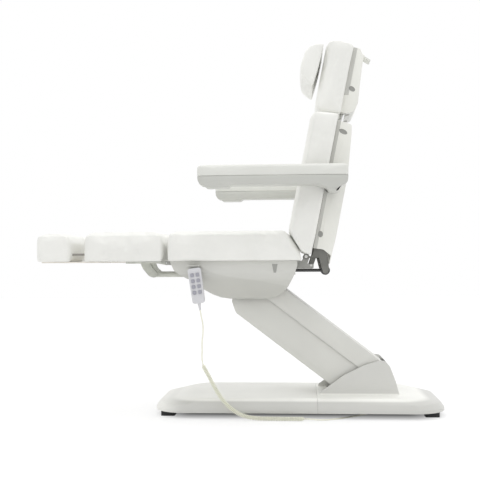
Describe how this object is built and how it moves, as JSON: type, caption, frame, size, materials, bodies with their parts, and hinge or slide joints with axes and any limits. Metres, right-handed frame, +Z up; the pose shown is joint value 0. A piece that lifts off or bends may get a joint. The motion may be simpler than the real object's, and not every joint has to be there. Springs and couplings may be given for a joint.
{
  "type": "podiatry chair",
  "caption": "Reclining treatment chair on a lifting arm: padded seat, leaning back, pillowed headrest, armrests, split leg rests with sliding foot pads and a corded handset.",
  "frame": {"origin": "middle of the chair's footprint on the floor, half way between the foot pads' front edge and the head end of the base", "axes": "+X towards the head end, -X towards the feet, +Z up, +Y away from the side with the handset"},
  "size_m": [1.561, 0.81, 1.468],
  "materials": {
    "cover_white": "satin",
    "casing_grey": "satin",
    "back_cover_grey": "satin",
    "upholstery": "soft",
    "armrest_grey": "satin",
    "black_plastic": "matt",
    "painted_steel": "satin",
    "dark_steel": "satin",
    "bare_steel": "brushed",
    "chromed": "bright",
    "rubber_feet": "matt",
    "handset_plastic": "satin",
    "button_grey": "matt",
    "cord_cream": "satin"
  },
  "bodies": {
    "root": {"base_frame": "dark_steel", "base_front_cover": "cover_white", "base_rear_cover": "cover_white", "base_feet": "rubber_feet", "column_bracket": "dark_steel", "lift_pins": "bare_steel", "control_box": "black_plastic", "floor_lead": "cord_cream", "curly_cord": "cord_cream"},
    "lower_arm": {"lower_link": "dark_steel", "lower_arm_cover": "casing_grey"},
    "upper_arm": {"upper_link": "dark_steel", "upper_arm_cover": "casing_grey", "arm_end_cap": "black_plastic"},
    "lift_motor_body": {"lift_motor": "black_plastic"},
    "lift_rod_body": {"lift_rod": "chromed"},
    "carrier": {"seat_carrier": "dark_steel"},
    "seat": {"seat_frame": "dark_steel", "seat_cushion": "upholstery", "seat_casing": "casing_grey", "hinge_pins": "bare_steel", "handset_holder": "casing_grey", "handset_shell": "handset_plastic", "handset_lead": "cord_cream"},
    "back": {"back_frame": "dark_steel", "back_cushion": "upholstery", "back_cover": "back_cover_grey"},
    "back_drive": {"back_drive_tube": "black_plastic", "back_drive_rod": "chromed"},
    "headrest_posts_body": {"headrest_posts": "chromed"},
    "headrest": {"headrest_shell": "back_cover_grey", "headrest_cushion": "upholstery", "headrest_pillow": "upholstery"},
    "headrest_lever_body": {"headrest_lever": "casing_grey"},
    "left_armrest_hub_body": {"left_armrest_hub": "bare_steel"},
    "left_armrest": {"left_armrest_casing": "armrest_grey", "left_armrest_pad": "upholstery"},
    "left_armrest_link_body": {"left_armrest_link": "dark_steel"},
    "left_leg": {"left_leg_cushion": "upholstery", "left_leg_frame": "painted_steel"},
    "left_strut": {"left_gas_strut": "painted_steel"},
    "left_foot": {"left_foot_cushion": "upholstery", "left_foot_slide": "bare_steel"},
    "right_armrest_hub_body": {"right_armrest_hub": "bare_steel"},
    "right_armrest": {"right_armrest_casing": "armrest_grey", "right_armrest_pad": "upholstery"},
    "right_armrest_link_body": {"right_armrest_link": "dark_steel"},
    "right_leg": {"right_leg_cushion": "upholstery", "right_leg_frame": "painted_steel"},
    "right_strut": {"right_gas_strut": "painted_steel"},
    "right_foot": {"right_foot_cushion": "upholstery", "right_foot_slide": "bare_steel"},
    "button_1_body": {"handset_button_1": "button_grey"},
    "button_2_body": {"handset_button_2": "button_grey"},
    "button_3_body": {"handset_button_3": "button_grey"},
    "button_4_body": {"handset_button_4": "button_grey"},
    "button_5_body": {"handset_button_5": "button_grey"},
    "button_6_body": {"handset_button_6": "button_grey"},
    "button_7_body": {"handset_button_7": "button_grey"},
    "button_8_body": {"handset_button_8": "button_grey"}
  },
  "joints": [
    {"name": "lift", "type": "hinge", "parent": "root", "child": "lower_arm", "pos_m": [0.43296, 0, 0.104], "axis": [0, 1, 0], "range_deg": [-20, 24]},
    {"name": "upper_arm_hinge", "type": "hinge", "parent": "root", "child": "upper_arm", "pos_m": [0.50596, 0, 0.181], "axis": [0, 1, 0], "range_deg": [-20, 24]},
    {"name": "carrier_hinge", "type": "hinge", "parent": "lower_arm", "child": "carrier", "pos_m": [0.00284, 0, 0.43048], "axis": [0, 1, 0], "range_deg": [-24, 20]},
    {"name": "lift_motor_hinge", "type": "hinge", "parent": "root", "child": "lift_motor_body", "pos_m": [0.43296, 0, 0.104], "axis": [0, 1, 0], "range_deg": [-20, 24]},
    {"name": "lift_rod_slide", "type": "slide", "parent": "lift_motor_body", "child": "lift_rod_body", "axis": [-0.6628, 0, 0.7488], "range_m": [-0.036, 0.043]},
    {"name": "seat_tilt", "type": "hinge", "parent": "carrier", "child": "seat", "pos_m": [0.02684, 0, 0.56648], "axis": [0, 1, 0], "range_deg": [0, 10]},
    {"name": "back_recline", "type": "hinge", "parent": "seat", "child": "back", "pos_m": [0.24954, 0, 0.61648], "axis": [0, 1, 0], "range_deg": [0, 78]},
    {"name": "back_drive_hinge", "type": "hinge", "parent": "back", "child": "back_drive", "pos_m": [0.32354, 0, 0.56348], "axis": [0, 1, 0], "range_deg": [-78, 0]},
    {"name": "headrest_height", "type": "slide", "parent": "back", "child": "headrest_posts_body", "axis": [0.1942, 0, 0.981], "range_m": [0, 0.08]},
    {"name": "headrest_tilt", "type": "hinge", "parent": "headrest_posts_body", "child": "headrest", "pos_m": [0.40413, 0, 1.2016], "axis": [0, 1, 0], "range_deg": [-5, 35]},
    {"name": "headrest_release", "type": "hinge", "parent": "headrest", "child": "headrest_lever_body", "pos_m": [0.4874, 0, 1.42579], "axis": [0, 1, 0], "range_deg": [-12, 0], "stiffness_Nm_per_rad": 3, "springref_deg": 5.73},
    {"name": "left_armrest_level", "type": "hinge", "parent": "back", "child": "left_armrest_hub_body", "pos_m": [0.34354, 0, 0.88248], "axis": [0, 1, 0], "range_deg": [-78, 0]},
    {"name": "left_armrest_lift", "type": "hinge", "parent": "left_armrest_hub_body", "child": "left_armrest", "pos_m": [0.34354, 0, 0.88248], "axis": [0, 1, 0], "range_deg": [0, 90]},
    {"name": "left_armrest_link_hinge", "type": "hinge", "parent": "seat", "child": "left_armrest_link_body", "pos_m": [0.26854, 0, 0.58248], "axis": [0, 1, 0], "range_deg": [0, 78]},
    {"name": "left_leg_drop", "type": "hinge", "parent": "seat", "child": "left_leg", "pos_m": [-0.28516, 0, 0.59448], "axis": [0, -1, 0], "range_deg": [-6, 80]},
    {"name": "left_strut_hinge", "type": "hinge", "parent": "left_leg", "child": "left_strut", "pos_m": [-0.36216, 0, 0.54848], "axis": [0, -1, 0], "range_deg": [-80, 6]},
    {"name": "left_foot_reach", "type": "slide", "parent": "left_leg", "child": "left_foot", "axis": [-1, 0, 0], "range_m": [-0.045, 0.09]},
    {"name": "right_armrest_level", "type": "hinge", "parent": "back", "child": "right_armrest_hub_body", "pos_m": [0.34354, 0, 0.88248], "axis": [0, 1, 0], "range_deg": [-78, 0]},
    {"name": "right_armrest_lift", "type": "hinge", "parent": "right_armrest_hub_body", "child": "right_armrest", "pos_m": [0.34354, 0, 0.88248], "axis": [0, 1, 0], "range_deg": [0, 90]},
    {"name": "right_armrest_link_hinge", "type": "hinge", "parent": "seat", "child": "right_armrest_link_body", "pos_m": [0.26854, 0, 0.58248], "axis": [0, 1, 0], "range_deg": [0, 78]},
    {"name": "right_leg_drop", "type": "hinge", "parent": "seat", "child": "right_leg", "pos_m": [-0.28516, 0, 0.59448], "axis": [0, -1, 0], "range_deg": [-6, 80]},
    {"name": "right_strut_hinge", "type": "hinge", "parent": "right_leg", "child": "right_strut", "pos_m": [-0.36216, 0, 0.54848], "axis": [0, -1, 0], "range_deg": [-80, 6]},
    {"name": "right_foot_reach", "type": "slide", "parent": "right_leg", "child": "right_foot", "axis": [-1, 0, 0], "range_m": [-0.045, 0.09]},
    {"name": "button_1_press", "type": "slide", "parent": "seat", "child": "button_1_body", "axis": [0, 1, 0], "range_m": [0, 0.0012], "stiffness_N_per_m": 500, "springref_m": -0.0006},
    {"name": "button_2_press", "type": "slide", "parent": "seat", "child": "button_2_body", "axis": [0, 1, 0], "range_m": [0, 0.0012], "stiffness_N_per_m": 500, "springref_m": -0.0006},
    {"name": "button_3_press", "type": "slide", "parent": "seat", "child": "button_3_body", "axis": [0, 1, 0], "range_m": [0, 0.0012], "stiffness_N_per_m": 500, "springref_m": -0.0006},
    {"name": "button_4_press", "type": "slide", "parent": "seat", "child": "button_4_body", "axis": [0, 1, 0], "range_m": [0, 0.0012], "stiffness_N_per_m": 500, "springref_m": -0.0006},
    {"name": "button_5_press", "type": "slide", "parent": "seat", "child": "button_5_body", "axis": [0, 1, 0], "range_m": [0, 0.0012], "stiffness_N_per_m": 500, "springref_m": -0.0006},
    {"name": "button_6_press", "type": "slide", "parent": "seat", "child": "button_6_body", "axis": [0, 1, 0], "range_m": [0, 0.0012], "stiffness_N_per_m": 500, "springref_m": -0.0006},
    {"name": "button_7_press", "type": "slide", "parent": "seat", "child": "button_7_body", "axis": [0, 1, 0], "range_m": [0, 0.0012], "stiffness_N_per_m": 500, "springref_m": -0.0006},
    {"name": "button_8_press", "type": "slide", "parent": "seat", "child": "button_8_body", "axis": [0, 1, 0], "range_m": [0, 0.0012], "stiffness_N_per_m": 500, "springref_m": -0.0006}
  ],
  "couplings": [
    {"joint": "upper_arm_hinge", "follows": "lift", "ratio": 1},
    {"joint": "carrier_hinge", "follows": "lift", "ratio": -1},
    {"joint": "lift_motor_hinge", "follows": "lift", "ratio": 0.985},
    {"joint": "lift_rod_slide", "follows": "lift", "m_per_rad": 0.1028},
    {"joint": "back_drive_hinge", "follows": "back_recline", "ratio": -1},
    {"joint": "left_armrest_level", "follows": "back_recline", "ratio": -1},
    {"joint": "left_armrest_link_hinge", "follows": "back_recline", "ratio": 1},
    {"joint": "left_strut_hinge", "follows": "left_leg_drop", "ratio": -1},
    {"joint": "right_armrest_level", "follows": "back_recline", "ratio": -1},
    {"joint": "right_armrest_link_hinge", "follows": "back_recline", "ratio": 1},
    {"joint": "right_strut_hinge", "follows": "right_leg_drop", "ratio": -1}
  ]
}
